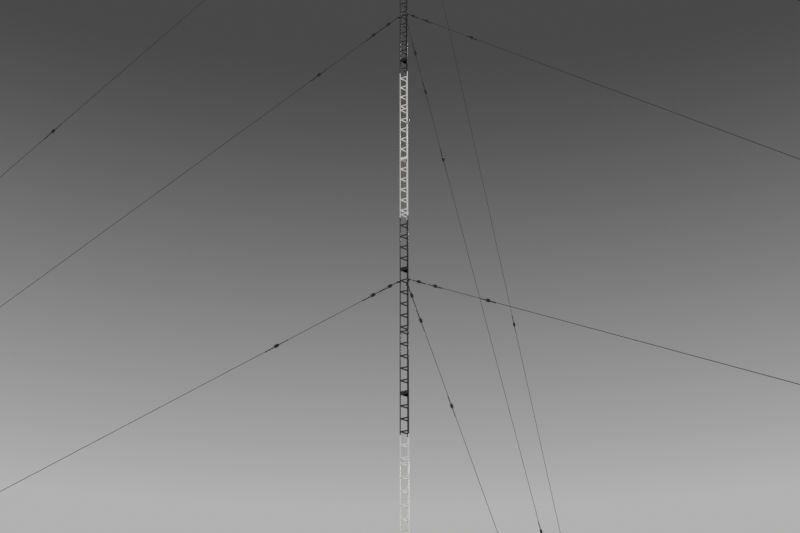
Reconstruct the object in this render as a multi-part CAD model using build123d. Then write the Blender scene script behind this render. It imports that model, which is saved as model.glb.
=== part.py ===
from build123d import *
import os
from math import atan2, cos, degrees, hypot, pi, radians, sin, sqrt

# A guyed radio mast with three legs, at half of its full size.
# Millimetres, +Z up, origin on the ground under the middle of the concrete pier.
# The left guys lie along -X. The right and rear guys are about 60 degrees either side of +X.

# Directions of the three legs, and how far the guys of each leg swing past its direction
directions = {"left": 180.0, "right": -60.0, "rear": 60.0}
guy_swings = {"left": 0.0, "right": 0.0, "rear": 2.9}

# Lattice
face_width = 190.0
leg_across = 22.0
leg_sides = 8
ring_bar_width = 18.0
ring_bar_depth = 27.0
section_pitch = 3000.0
section_count = 11
bays_per_section = 10
joint_gap = 117.0
deep_ring = 5
deep_ring_width = 10.0
deep_ring_depth = 75.0
web_thickness = 6.0
flange_diameter = 50.0
flange_thickness = 8.0
cap_plate_thickness = 10.0
cap_plate_margin = 8.0

# Pier, base plate, base insulator and tapered foot
pier_side = 480.0
pier_height = 200.0
pier_chamfer = 18.0
base_plate_side = 300.0
base_plate_thickness = 16.0
insulator_height = 180.0
insulator_core = 90.0
insulator_shed = 150.0
insulator_shed_count = 3
insulator_end_height = 24.0
insulator_shed_rise = 16.0
foot_plate_diameter = 170.0
foot_plate_thickness = 14.0
foot_leg_circle = 50.0
foot_bays = 2

# Guy brackets on the legs
guy_rings = [(2, 10), (5, 4), (7, 10), (10, 3)]
collar_wall = 6.0
collar_height = 50.0
lug_thickness = 10.0
lug_reach = 52.0
lug_end_radius = 15.0
pin_hole = 15.0
seat_clearance = 0.3

# Guys: wires broken by egg insulators. Distances from the upper pin, lowest guy first
wire_diameter = 10.0
egg_distances = {
    "left": [
        (375.0, 1000.0, 3200.0, 14200.0),
        (205.0, 645.0, 3070.0, 14200.0),
        (350.0, 885.0, 2785.0, 14200.0),
        (375.0, 1000.0, 3200.0, 13665.0),
    ],
    "right": [
        (375.0, 1000.0, 3200.0, 14200.0),
        (410.0, 1110.0, 3160.0, 14200.0),
        (305.0, 1110.0, 3545.0, 14900.0),
        (375.0, 1000.0, 3200.0, 14200.0),
    ],
    "rear": [
        (375.0, 1000.0, 3200.0, 14200.0),
        (260.0, 910.0, 3240.0, 14200.0),
        (815.0, 1835.0, 3630.0, 14280.0),
        (375.0, 1000.0, 3200.0, 14275.0),
    ],
}
egg_length = 115.0
egg_diameter = 72.0
egg_end_diameter = 26.0
clevis_cheek = 6.0
clevis_width = 26.0
clevis_back = 13.0
clevis_reach = 30.0
clevis_block = 14.0

# Turnbuckles at the anchors
screw_diameter = 12.0
buckle_start = 75.0
buckle_length = 190.0
buckle_boss_diameter = 26.0
buckle_boss_length = 26.0
buckle_bar = 9.0
buckle_spread = 30.0
screw_length = 330.0

# Anchors
anchor_radius = 19900.0
anchor_pin_height = 600.0
anchor_slope = 40.0
fan_hole_spacing = 60.0
fan_plate_thickness = 12.0
fan_plate_width = 40.0
fan_end_margin = 26.0
shaft_depth = 100.0
shaft_flange_width = 70.0
shaft_flange_thickness = 8.0
anchor_plate_length = 250.0
anchor_plate_width = 170.0
anchor_plate_thickness = 14.0
block_length = 620.0
block_width = 480.0
block_height = 180.0
block_chamfer = 18.0

# Obstruction lights and lightning rod
light_section = 6
light_bay = 8.4
light_base_diameter = 46.0
light_base_height = 29.0
light_globe_diameter = 52.0
light_globe_height = 46.0
light_arm_length = 44.0
light_arm_thickness = 8.0
light_arm_width = 34.0
light_clamp_height = 30.0
rod_diameter = 14.0
rod_tip_diameter = 5.0
rod_height = 850.0
rod_socket_diameter = 30.0
rod_socket_height = 60.0

# Worked out from the driving dimensions
leg_circle = face_width / sqrt(3)
leg_corners = leg_across / cos(pi / leg_sides)
bay = (section_pitch - joint_gap) / bays_per_section
half_gap = joint_gap / 2
base_plate_z = pier_height
insulator_z = base_plate_z + base_plate_thickness
foot_z = insulator_z + insulator_height
first_ring_z = foot_z + foot_plate_thickness
foot_top_z = first_ring_z + foot_bays * bay - half_gap


def ring_z(section, index):
    """Height of a ring, counted from the lowest ring of its section."""
    return first_ring_z + (section - 1) * section_pitch + index * bay


mast_top_z = ring_z(section_count, bays_per_section) + half_gap
top_plate_z = mast_top_z + cap_plate_thickness


def leg_points(circle):
    """The three corners of the mast on a circle, in plan."""
    return [(circle * cos(radians(a)), circle * sin(radians(a))) for a in directions.values()]


def leg_profile(across):
    return RegularPolygon(across / 2, leg_sides, major_radius=False)


def turned(angle, shape):
    """Turn a shape that was built along +X to one of the three directions."""
    return Rot(0, 0, angle) * shape


def with_guys(name, shape):
    """The same for what goes with the guys, which swing about the centre of their leg."""
    swing = Pos(leg_circle, 0, 0) * Rot(0, 0, guy_swings[name]) * Pos(-leg_circle, 0, 0)
    return Rot(0, 0, directions[name]) * swing * shape


def triangle_ring(circle, z, width=ring_bar_width, depth=ring_bar_depth):
    """Three bars in a horizontal triangle, from leg centre to leg centre."""
    corners = leg_points(circle)
    bars = []
    for i, start in enumerate(corners):
        end = corners[(i + 1) % len(corners)]
        run = hypot(end[0] - start[0], end[1] - start[1])
        angle = degrees(atan2(end[1] - start[1], end[0] - start[0]))
        middle = ((start[0] + end[0]) / 2, (start[1] + end[1]) / 2, z)
        bars.append(Pos(*middle) * Rot(0, 0, angle) * Box(run, width, depth))
    return bars


def triangle_plate(z, thickness, margin):
    """A triangular plate that reaches past the middles of the legs, with round corners."""
    outline = offset(Polygon(*leg_points(leg_circle), align=None), margin)
    return Pos(0, 0, z) * extrude(outline, thickness)


def closed_ring(z):
    """Three deep plates on edge between the legs, with a plate over them that closes the ring."""
    web_z = z + deep_ring_depth / 2 - web_thickness
    web = triangle_plate(web_z, web_thickness, deep_ring_width / 2)
    return triangle_ring(leg_circle, z, deep_ring_width, deep_ring_depth) + [web]


def joint_flanges(z):
    """A round flange on each leg, with its lower face at z."""
    flange = Cylinder(flange_diameter / 2, flange_thickness, align=(Align.CENTER, Align.CENTER, Align.MIN))
    return [Pos(x, y, z) * flange for x, y in leg_points(leg_circle)]


def straight_legs(bottom, top):
    solids = []
    for x, y in leg_points(leg_circle):
        leg = extrude(leg_profile(leg_across), top - bottom)
        solids.append(Pos(x, y, bottom) * turned(degrees(atan2(y, x)), leg))
    return solids


def fused(solids):
    return Part() + solids


def mast_section(section):
    """One welded length of mast, whose legs meet those of the next one end to end."""
    first_ring = foot_bays if section == 1 else 0
    bottom = ring_z(section, first_ring) - half_gap
    top = ring_z(section, bays_per_section) + half_gap
    solids = straight_legs(bottom, top)
    for i in range(first_ring, bays_per_section + 1):
        if i == deep_ring:
            solids += closed_ring(ring_z(section, i))
        else:
            solids += triangle_ring(leg_circle, ring_z(section, i))
    if section == 1:
        solids += joint_flanges(bottom)
    if section == section_count:
        solids.append(triangle_plate(top, cap_plate_thickness, leg_across / 2 + cap_plate_margin))
    return fused(solids)


def leaning_leg(angle):
    """One leg of the tapered foot, from the foot plate to its flange."""
    low = Vector(foot_leg_circle, 0, foot_z + foot_plate_thickness / 2)
    high = Vector(leg_circle, 0, foot_top_z - flange_thickness / 2)
    run = high - low
    plane = Plane(origin=low, x_dir=(0, 1, 0), z_dir=run.normalized())
    return turned(angle, extrude(plane * leg_profile(leg_across), run.length))


def mast_foot():
    """The tapered lowest bays, welded to a round plate that sits on the insulator."""
    plate = Cylinder(
        foot_plate_diameter / 2, foot_plate_thickness, align=(Align.CENTER, Align.CENTER, Align.MIN)
    )
    solids = [Pos(0, 0, foot_z) * plate]
    solids += [leaning_leg(angle) for angle in directions.values()]
    ring_height = first_ring_z + bay
    rise = (ring_height - first_ring_z) / (foot_top_z - first_ring_z)
    solids += triangle_ring(foot_leg_circle + (leg_circle - foot_leg_circle) * rise, ring_height)
    solids += joint_flanges(foot_top_z - flange_thickness)
    return fused(solids)


def chamfered_block(length, width, height, chamfer_size):
    block = Box(length, width, height, align=(Align.CENTER, Align.CENTER, Align.MIN))
    return chamfer(block.edges().group_by(Axis.Z)[-1], chamfer_size)


def base_insulator():
    """A ribbed ceramic column: a core with flat ends and sloping sheds."""
    core = insulator_core / 2
    shed = insulator_shed / 2
    pitch = (insulator_height - 2 * insulator_end_height) / insulator_shed_count
    points = [(0, 0), (shed, 0), (shed, insulator_end_height / 2), (core, insulator_end_height)]
    for i in range(insulator_shed_count):
        low = insulator_end_height + i * pitch
        middle = low + pitch / 2
        points.append((core, middle - insulator_shed_rise))
        points.append((shed, middle - insulator_shed_rise / 4))
        points.append((shed, middle + insulator_shed_rise / 4))
        points.append((core, middle + insulator_shed_rise))
    top = insulator_height - insulator_end_height
    points += [(core, top), (shed, insulator_height - insulator_end_height / 2)]
    points += [(shed, insulator_height), (0, insulator_height)]
    outline = make_face(Plane.XZ * Polyline(*points, close=True))
    return Pos(0, 0, insulator_z) * revolve(outline, Axis.Z)


def guy_bracket(section, index):
    """Upper pin of the guys under one ring, in the plane of a leg: distance out and height."""
    collar_top = ring_z(section, index) - ring_bar_depth / 2 - seat_clearance
    return leg_circle + lug_reach, collar_top - collar_height / 2


def bracket_solid(section, index):
    """A collar round one leg with a lug that points away from the mast."""
    pin_x, pin_z = guy_bracket(section, index)
    bore = leg_corners + 2 * seat_clearance
    ring = Circle(bore / 2 + collar_wall) - Circle(bore / 2)
    collar = Pos(leg_circle, 0, pin_z - collar_height / 2) * extrude(ring, collar_height)
    root = leg_circle + bore / 2 + collar_wall / 2
    corners = [
        (root, pin_z - collar_height / 2),
        (pin_x, pin_z - lug_end_radius),
        (pin_x, pin_z + lug_end_radius),
        (root, pin_z + collar_height / 2),
    ]
    lug = Polygon(*corners, align=None) + Pos(pin_x, pin_z) * Circle(lug_end_radius)
    lug -= Pos(pin_x, pin_z) * Circle(pin_hole / 2)
    plate = extrude(Plane.XZ * lug, lug_thickness / 2, both=True)
    return collar + plate


def brackets(section, index):
    return Compound(children=[with_guys(name, bracket_solid(section, index)) for name in directions])


def anchor_pin(level):
    """Lower pin of a guy: its hole in the fan plate, in the plane of the leg."""
    place = (level - (len(guy_rings) - 1) / 2) * fan_hole_spacing
    out = anchor_radius + place * sin(radians(anchor_slope))
    return out, anchor_pin_height + place * cos(radians(anchor_slope))


def guy_frame(level, from_anchor=False):
    """A plane whose Z runs along the guy, and the distance between its pins."""
    upper = guy_bracket(*guy_rings[level])
    lower = anchor_pin(level)
    start, end = (lower, upper) if from_anchor else (upper, lower)
    run = Vector(end[0] - start[0], 0, end[1] - start[1])
    plane = Plane(origin=(start[0], 0, start[1]), x_dir=(0, 1, 0), z_dir=run.normalized())
    return plane, run.length


def rod(start, length, diameter):
    """A round bar along Z."""
    cylinder = Cylinder(diameter / 2, length, align=(Align.CENTER, Align.CENTER, Align.MIN))
    return Pos(0, 0, start) * cylinder


def clevis(held_thickness):
    """Two cheeks either side of a plate, with a pin through its hole."""
    inside = held_thickness / 2 + seat_clearance
    middle = inside + clevis_cheek / 2
    length = clevis_back + clevis_reach + clevis_block
    solids = []
    for side in (-1, 1):
        cheek = Box(clevis_cheek, clevis_width, length, align=(Align.CENTER, Align.CENTER, Align.MIN))
        solids.append(Pos(side * middle, 0, -clevis_back) * cheek)
    block = Box(
        2 * inside + clevis_cheek, clevis_width, clevis_block, align=(Align.CENTER, Align.CENTER, Align.MIN)
    )
    solids.append(Pos(0, 0, clevis_reach) * block)
    pin_length = 2 * (inside + clevis_cheek)
    solids.append(Rot(0, 90, 0) * Cylinder(pin_hole / 2 - seat_clearance, pin_length))
    return solids


clevis_end = clevis_reach + clevis_block


def guy(name, level):
    """One guy: wires from the clevis to the turnbuckle, broken at each egg insulator."""
    plane, length = guy_frame(level)
    ends = [clevis_end]
    for distance in egg_distances[name][level]:
        ends += [distance - egg_length / 2, distance + egg_length / 2]
    ends.append(length - screw_length)
    wires = []
    for i in range(0, len(ends), 2):
        wires.append(rod(ends[i], ends[i + 1] - ends[i], wire_diameter))
    overlap = clevis_block / 2
    first = rod(clevis_end - overlap, ends[1] - clevis_end + overlap, wire_diameter)
    wires[0] = fused(clevis(lug_thickness) + [first])
    return [plane.location * wire for wire in wires]


def egg():
    """An egg insulator about its own centre, with a small flat at each end."""
    half = egg_length / 2
    flat = egg_end_diameter / 2
    side = ThreePointArc((flat, -half), (egg_diameter / 2, 0), (flat, half))
    ends = Polyline((flat, half), (0, half), (0, -half), (flat, -half))
    return revolve(make_face(Plane.XZ * (side + ends)), Axis.Z)


def guy_eggs(name, level):
    plane, length = guy_frame(level)
    return [plane.location * Pos(0, 0, distance) * egg() for distance in egg_distances[name][level]]


def turnbuckle(level):
    """Clevis, screw and open frame that tighten a guy at its anchor."""
    plane, length = guy_frame(level, from_anchor=True)
    solids = clevis(fan_plate_thickness)
    solids.append(rod(clevis_reach, screw_length - clevis_reach, screw_diameter))
    far_boss = buckle_start + buckle_length - buckle_boss_length
    solids.append(rod(buckle_start, buckle_boss_length, buckle_boss_diameter))
    solids.append(rod(far_boss, buckle_boss_length, buckle_boss_diameter))
    for side in (-1, 1):
        bar = Box(buckle_bar, buckle_bar, buckle_length, align=(Align.CENTER, Align.CENTER, Align.MIN))
        solids.append(Pos(side * buckle_spread / 2, 0, buckle_start) * bar)
    return plane.location * fused(solids)


def anchor_bracket():
    """A flat fan plate on an inclined steel shaft that is welded to a base plate."""
    slope = radians(anchor_slope)
    pins = [anchor_pin(level) for level in range(len(guy_rings))]
    tilt = Rot(0, 90 + anchor_slope, 0)
    centre = Pos(anchor_radius, 0, anchor_pin_height)
    fan_length = (len(pins) - 1) * fan_hole_spacing + 2 * fan_end_margin
    fan = centre * tilt * Box(fan_length, fan_plate_thickness, fan_plate_width)
    for x, z in pins:
        fan -= Pos(x, 0, z) * Rot(90, 0, 0) * Cylinder(pin_hole / 2, 2 * fan_plate_thickness)
    plate_top = block_height + anchor_plate_thickness
    run = (anchor_pin_height - block_height) / sin(slope)
    web_start = fan_plate_width / 4
    web_length = run + shaft_depth
    web = Box(shaft_depth, fan_plate_thickness, web_length, align=(Align.CENTER, Align.CENTER, Align.MIN))
    flange = Box(
        shaft_flange_thickness, shaft_flange_width, web_length, align=(Align.CENTER, Align.CENTER, Align.MIN)
    )
    shaft = [centre * tilt * Pos(0, 0, web_start) * web]
    flange_start = fan_plate_width / 2 + clevis_back
    for side in (-1, 1):
        place = side * (shaft_depth - shaft_flange_thickness) / 2
        shaft.append(centre * tilt * Pos(place, 0, flange_start) * flange)
    below = Plane.XY.offset(plate_top - anchor_plate_thickness / 2)
    shaft = [split(piece, bisect_by=below, keep=Keep.TOP) for piece in shaft]
    foot_x = anchor_radius + (anchor_pin_height - plate_top) / sin(slope) * cos(slope)
    base = Box(
        anchor_plate_length,
        anchor_plate_width,
        anchor_plate_thickness,
        align=(Align.CENTER, Align.CENTER, Align.MIN),
    )
    return fused([fan, Pos(foot_x, 0, block_height) * base] + shaft), foot_x


def light_head(x, z):
    """A lamp: a round housing with a domed glass cover on it."""
    housing = rod(z, light_base_height, light_base_diameter)
    globe_radius = light_globe_diameter / 2
    straight = light_globe_height - globe_radius
    globe_z = z + light_base_height
    globe = rod(globe_z, straight, light_globe_diameter)
    dome = Pos(0, 0, globe_z + straight) * Sphere(globe_radius)
    return [Pos(x, 0, 0) * solid for solid in (housing, globe, dome)]


def side_light():
    """A lamp on an arm that is clamped round one leg."""
    z = ring_z(light_section, light_bay)
    bore = leg_across + 2 * seat_clearance
    ring = leg_profile(bore + 2 * collar_wall) - leg_profile(bore)
    clamp = Pos(leg_circle, 0, z - light_clamp_height / 2) * extrude(ring, light_clamp_height)
    inner = leg_circle + bore / 2 + collar_wall / 2
    lamp_x = leg_circle + leg_across / 2 + light_arm_length
    reach = lamp_x + light_base_diameter / 4 - inner
    arm = Box(reach, light_arm_width, light_arm_thickness, align=(Align.MIN, Align.CENTER, Align.CENTER))
    solids = [clamp, Pos(inner, 0, z) * arm] + light_head(lamp_x, z)
    return turned(directions["right"], fused(solids))


def top_light():
    """The same lamp, standing on the top plate beside the lightning rod."""
    return turned(directions["right"], fused(light_head(leg_circle / 2, top_plate_z)))


def lightning_rod():
    """A tapered rod in a socket that stands on the top plate."""
    place = Pos(-leg_circle / 4, 0, top_plate_z)
    socket = rod(0, rod_socket_height, rod_socket_diameter)
    taper = Cone(
        rod_diameter / 2, rod_tip_diameter / 2, rod_height, align=(Align.CENTER, Align.CENTER, Align.MIN)
    )
    return place * fused([socket, taper])


def save(name, shape):
    export_step(shape, f"parts/{name}.step")


os.makedirs("parts", exist_ok=True)

save("base_pier", chamfered_block(pier_side, pier_side, pier_height, pier_chamfer))
base_plate = Box(
    base_plate_side, base_plate_side, base_plate_thickness, align=(Align.CENTER, Align.CENTER, Align.MIN)
)
save("base_plate", Pos(0, 0, base_plate_z) * base_plate)
save("base_insulator", base_insulator())
save("mast_foot", mast_foot())

# The sections between the lowest and the highest are alike, so one is built and then lifted
middle_section = mast_section(2)
for number in range(1, section_count + 1):
    if number in (1, section_count):
        section_solid = mast_section(number)
    else:
        section_solid = Pos(0, 0, (number - 2) * section_pitch) * middle_section
    save(f"mast_section_{number}", section_solid)

for number, place in enumerate(guy_rings, start=1):
    save(f"guy_brackets_{number}", brackets(*place))

bracket, shaft_foot_x = anchor_bracket()
levels = range(len(guy_rings))
for name in directions:
    for level in levels:
        wires = [with_guys(name, wire) for wire in guy(name, level)]
        save(f"guy_{name}_{level + 1}", Compound(children=wires))
    eggs = [with_guys(name, shape) for level in levels for shape in guy_eggs(name, level)]
    save(f"guy_insulators_{name}", Compound(children=eggs))
    buckles = [with_guys(name, turnbuckle(level)) for level in levels]
    save(f"turnbuckles_{name}", Compound(children=buckles))
    save(f"anchor_bracket_{name}", with_guys(name, bracket))
    block = chamfered_block(block_length, block_width, block_height, block_chamfer)
    save(f"anchor_block_{name}", with_guys(name, Pos(shaft_foot_x, 0, 0) * block))

save("obstruction_lights", Compound(children=[side_light(), top_light()]))
save("lightning_rod", lightning_rod())
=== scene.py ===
from functools import partialmethod
from math import atan2, cos, degrees, exp, pi, radians, sin, sqrt

import bpy
from mathutils import Matrix, Vector


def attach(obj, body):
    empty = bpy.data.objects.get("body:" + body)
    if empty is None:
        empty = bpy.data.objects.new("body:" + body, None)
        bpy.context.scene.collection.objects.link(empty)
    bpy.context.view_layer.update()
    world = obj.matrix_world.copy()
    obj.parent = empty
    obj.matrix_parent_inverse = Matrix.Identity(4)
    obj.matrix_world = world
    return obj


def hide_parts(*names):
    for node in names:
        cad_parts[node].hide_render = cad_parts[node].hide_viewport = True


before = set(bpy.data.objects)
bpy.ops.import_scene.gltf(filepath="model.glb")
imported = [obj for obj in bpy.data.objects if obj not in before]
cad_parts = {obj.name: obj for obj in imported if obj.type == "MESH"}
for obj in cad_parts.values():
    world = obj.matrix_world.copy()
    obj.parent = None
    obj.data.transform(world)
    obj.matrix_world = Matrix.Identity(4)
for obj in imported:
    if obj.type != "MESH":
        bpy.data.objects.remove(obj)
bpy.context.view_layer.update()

# The studio. The camera stands on the ground 22 m from the mast and looks up at its middle,
# so the mast runs out of the frame at both ends. A soft key light comes from the upper right. The
# backdrop is a plain grey, darker overhead, so that the white and the dark bands both stand out.
camera_place = (-2.076, -22.506, 0.487)
camera_heading = 4.981
camera_pitch = 30.741
camera_lens = 53.38
camera_sensor = 36.0
farthest_seen = 2000.0
backdrop_low = (0.44, 0.44, 0.44, 1.0)
backdrop_high = (0.065, 0.065, 0.065, 1.0)
backdrop_darkest = 0.66
backdrop_palest = 0.33
backdrop_fall = 1.5
sky_colour = (1.0, 1.0, 1.0, 1.0)
sky_light = 0.76
key_strength = 1.1
key_softness = 8.0
key_from = (1.0, 0.05, 0.98)
floor_side = 1800.0
floor_colour = (0.42, 0.42, 0.42, 1.0)
floor_roughness = 0.9


class Finish:
    """The nodes of a material, a shared effect or the sky while they are wired."""

    def __init__(self, tree):
        self.tree = tree

    def add(self, kind, **settings):
        node = self.tree.nodes.new(kind)
        for name, value in settings.items():
            setattr(node, name, value)
        return node

    def feed(self, socket, value):
        """Sets a socket to a number or colour, or links another node's output to it."""
        if isinstance(value, bpy.types.NodeSocket):
            self.tree.links.new(value, socket)
        else:
            socket.default_value = value

    def fed(self, node, *values):
        """Feeds the first sockets of a node in turn."""
        for socket, value in zip(node.inputs, values):
            self.feed(socket, value)
        return node

    def number(self, operation, *values):
        return self.fed(self.add("ShaderNodeMath", operation=operation), *values).outputs[0]

    times = partialmethod(number, "MULTIPLY")
    plus = partialmethod(number, "ADD")
    less = partialmethod(number, "SUBTRACT")
    larger = partialmethod(number, "MAXIMUM")

    def mixed(self, amount, first, second):
        """A colour between two others."""
        node = self.add("ShaderNodeMix", data_type="RGBA")
        for place, value in ((0, amount), (6, first), (7, second)):
            self.feed(node.inputs[place], value)
        return node.outputs[2]

    def ramp(self, value, low, high, start=0.0, end=1.0, bend="SMOOTHSTEP"):
        """Takes low to start and high to end, smoothly, and holds them beyond."""
        node = self.add("ShaderNodeMapRange", interpolation_type=bend)
        return self.fed(node, value, low, high, start, end).outputs[0]

    def grown(self, value, amount, start, share, width):
        """A mask of what lies above a level. The level falls from its start with the amount."""
        level = self.less(start, self.times(amount, share))
        return self.ramp(value, level, self.plus(level, width))

    def placed(self, kind, place, scale):
        """A texture or a mapping, with the place that it reads and its scale."""
        node = self.add(kind)
        self.feed(node.inputs["Vector"], place)
        self.feed(node.inputs["Scale"], scale)
        return node

    def noise(self, place, scale, detail=4.0):
        node = self.placed("ShaderNodeTexNoise", place, scale)
        node.inputs["Detail"].default_value = detail
        return node.outputs["Fac"]

    def cells(self, place, scale, result="Distance"):
        return self.placed("ShaderNodeTexVoronoi", place, scale).outputs[result]

    def stretched(self, place, scale):
        return self.placed("ShaderNodeMapping", place, scale).outputs["Vector"]

    def height(self, place):
        """How far above the ground a point is."""
        return self.fed(self.add("ShaderNodeSeparateXYZ"), place).outputs["Z"]

    def effect(self, name, scale, amount):
        """Places a shared effect, and gives its outputs."""
        node = self.add("ShaderNodeGroup", node_tree=bpy.data.node_groups[name])
        return self.fed(node, self.place, scale, amount).outputs

    def surface(self, colour, rough, relief=None, depth=0.0):
        """Gives the shader its colour and roughness, and its relief to a depth in metres."""
        self.feed(self.shader.inputs["Base Color"], colour)
        self.feed(self.shader.inputs["Roughness"], rough)
        if relief is not None:
            bump = self.add("ShaderNodeBump")
            self.feed(bump.inputs["Height"], relief)
            self.feed(bump.inputs["Distance"], depth)
            self.feed(self.shader.inputs["Normal"], bump.outputs["Normal"])


def new_finish(name, metallic=0.0, specular=0.5):
    """A material and its nodes, with the place of each point in metres."""
    material = bpy.data.materials.new(name)
    material.use_nodes = True
    mix = Finish(material.node_tree)
    mix.shader = material.node_tree.nodes["Principled BSDF"]
    mix.feed(mix.shader.inputs["Metallic"], metallic)
    mix.feed(mix.shader.inputs["Specular IOR Level"], specular)
    mix.place = mix.add("ShaderNodeTexCoord").outputs["Object"]
    return material, mix


def new_object(name, data):
    thing = bpy.data.objects.new(name, data)
    bpy.context.collection.objects.link(thing)
    return thing


bpy.context.scene.view_settings.view_transform = "Standard"
camera_data = bpy.data.cameras.new("camera")
camera_data.lens = camera_lens
camera_data.sensor_width = camera_sensor
camera_data.clip_end = farthest_seen
camera = new_object("camera", camera_data)
camera.location = camera_place
camera.rotation_euler = (radians(90 + camera_pitch), 0, -radians(camera_heading))
bpy.context.scene.camera = camera

key_data = bpy.data.lights.new("key", "SUN")
key_data.energy = key_strength
key_data.angle = radians(key_softness)
key = new_object("key", key_data)
key.rotation_euler = Vector(key_from).to_track_quat("Z", "Y").to_euler()

world = bpy.data.worlds.new("pale_sky")
bpy.context.scene.world = world
world.use_nodes = True
world.node_tree.nodes.clear()
sky = Finish(world.node_tree)
level = sky.height(sky.add("ShaderNodeTexCoord").outputs["Generated"])
fade = sky.ramp(level, backdrop_darkest, backdrop_palest, bend="LINEAR")
grey = sky.mixed(sky.number("POWER", fade, backdrop_fall), backdrop_high, backdrop_low)
seen = sky.fed(sky.add("ShaderNodeBackground"), grey)
lit = sky.fed(sky.add("ShaderNodeBackground"), sky_colour, sky_light)
ray = sky.add("ShaderNodeLightPath").outputs
direct = sky.larger(ray["Is Camera Ray"], ray["Is Glossy Ray"])
direct = sky.larger(direct, ray["Is Transmission Ray"])
both = sky.fed(sky.add("ShaderNodeMixShader"), direct, lit.outputs[0], seen.outputs[0])
sky.fed(sky.add("ShaderNodeOutputWorld"), both.outputs[0])

half = floor_side / 2
floor_mesh = bpy.data.meshes.new("floor")
floor_corners = [(-half, -half, 0), (half, -half, 0), (half, half, 0), (-half, half, 0)]
floor_mesh.from_pydata(floor_corners, [], [(0, 1, 2, 3)])
floor = new_object("floor", floor_mesh)
floor_paint, mix = new_finish("floor_paint", specular=0.1)
mix.surface(floor_colour, floor_roughness)
floor_mesh.materials.append(floor_paint)

# The concrete pier under the mast and the three anchor blocks. They were cast in board shutters,
# which left faint level lines. The concrete is grey and pitted, dark where the ground keeps it
# damp, and streaked below the steel that stands on it.
concrete_light = (0.42, 0.405, 0.375, 1.0)
concrete_dark = (0.23, 0.22, 0.2, 1.0)
concrete_damp = (0.1, 0.095, 0.08, 1.0)
board_height = 0.062
damp_height = 0.07


def new_effect(name, *results):
    """An effect that several finishes share: its nodes, its inputs and its outputs."""
    tree = bpy.data.node_groups.new(name, "ShaderNodeTree")
    for title, kind in (("Place", "Vector"), ("Scale", "Float"), ("Amount", "Float")):
        tree.interface.new_socket(title, in_out="INPUT", socket_type=f"NodeSocket{kind}")
    for title in results:
        tree.interface.new_socket(title, in_out="OUTPUT", socket_type="NodeSocketFloat")
    nodes = Finish(tree)
    return nodes, nodes.add("NodeGroupInput").outputs, nodes.add("NodeGroupOutput").inputs


# Grime is broad and cloudy with finer dirt in it. Streaks are dirt that rain drew downwards.
grime, given, result = new_effect("grime", "Mask", "Fine")
clouds = grime.noise(given["Place"], given["Scale"], 6.0)
specks = grime.noise(given["Place"], grime.times(given["Scale"], 9.0), 5.0)
cloudy = grime.plus(clouds, grime.times(grime.less(specks, 0.5), 0.35))
grime.feed(result["Mask"], grime.grown(cloudy, given["Amount"], 0.72, 0.34, 0.22))
grime.feed(result["Fine"], specks)

streaks, given, result = new_effect("streaks", "Mask")
drawn = streaks.noise(streaks.stretched(given["Place"], (1.0, 1.0, 0.045)), given["Scale"], 3.0)
drawn = streaks.grown(drawn, given["Amount"], 0.74, 0.26, 0.14)
patches = streaks.ramp(streaks.noise(given["Place"], 2.4, 2.0), 0.36, 0.6)
streaks.feed(result["Mask"], streaks.times(drawn, patches))

concrete, mix = new_finish("concrete", specular=0.3)
weather = mix.effect("grime", 4.0, 0.55)
rain = mix.effect("streaks", 34.0, 0.5)
level = mix.height(mix.place)
board = mix.number("FRACT", mix.number("DIVIDE", level, board_height))
board_line = mix.ramp(mix.number("ABSOLUTE", mix.less(board, 0.5)), 0.47, 0.5)
grit = mix.noise(mix.place, 210.0, 3.0)
pits = mix.ramp(mix.cells(mix.place, 46.0), 0.05, 0.16)
damp_edge = mix.plus(level, mix.times(mix.noise(mix.place, 16.0), 0.07))
damp = mix.ramp(damp_edge, damp_height - 0.03, damp_height + 0.05, 1.0, 0.0)
colour = mix.mixed(weather["Mask"], concrete_light, concrete_dark)
colour = mix.mixed(mix.times(rain["Mask"], 0.55), colour, concrete_damp)
colour = mix.mixed(mix.times(damp, 0.75), colour, concrete_damp)
colour = mix.mixed(mix.ramp(grit, 0.35, 0.7, 0.0, 0.22), colour, concrete_light)
relief = mix.plus(mix.times(pits, 0.5), mix.times(grit, 0.25))
relief = mix.plus(relief, mix.times(board_line, 0.5))
mix.surface(colour, mix.ramp(damp, 0.0, 1.0, 0.88, 0.6), relief, 0.003)


def dressed(node, material):
    """Gives a part of the frame its finish."""
    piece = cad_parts[node]
    piece.data.materials.clear()
    piece.data.materials.append(material)


dressed("base_pier", concrete)
for side in ("left", "right", "rear"):
    dressed(f"anchor_block_{side}", concrete)

# The base plate and its holding-down bolts, hot-dip galvanised steel. Each bolt has a square
# washer, a nut, a lock nut and spare thread. Neighbouring nuts are turned apart.
plate_top = 0.216
base_bolt_place = 0.118
base_bolt_size = 0.02
square_washer = 0.046
washer_thickness = 0.005
spare_thread = 0.022
zinc_light = (0.46, 0.47, 0.48, 1.0)
zinc_dark = (0.355, 0.365, 0.375, 1.0)
zinc_white = (0.6, 0.6, 0.58, 1.0)
flakes_in_a_metre = 210.0
rust_red = (0.2, 0.068, 0.025, 1.0)
rust_brown = (0.075, 0.032, 0.018, 1.0)

# Rust starts in small spots and spreads, rough and raised.
rust, given, result = new_effect("rust", "Mask", "Tone", "Raised")
wide = rust.noise(given["Place"], given["Scale"], 6.0)
close = rust.noise(given["Place"], rust.times(given["Scale"], 6.0), 4.0)
eaten = rust.plus(wide, rust.times(rust.less(close, 0.5), 0.3))
rusty = rust.grown(eaten, given["Amount"], 0.78, 0.34, 0.07)
rust.feed(result["Mask"], rusty)
rust.feed(result["Tone"], rust.ramp(close, 0.35, 0.65))
rust.feed(result["Raised"], rust.times(rusty, close))


def rusted(mix, spots, colour):
    """A colour with spots of rust on it."""
    return mix.mixed(spots["Mask"], colour, mix.mixed(spots["Tone"], rust_brown, rust_red))


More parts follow.
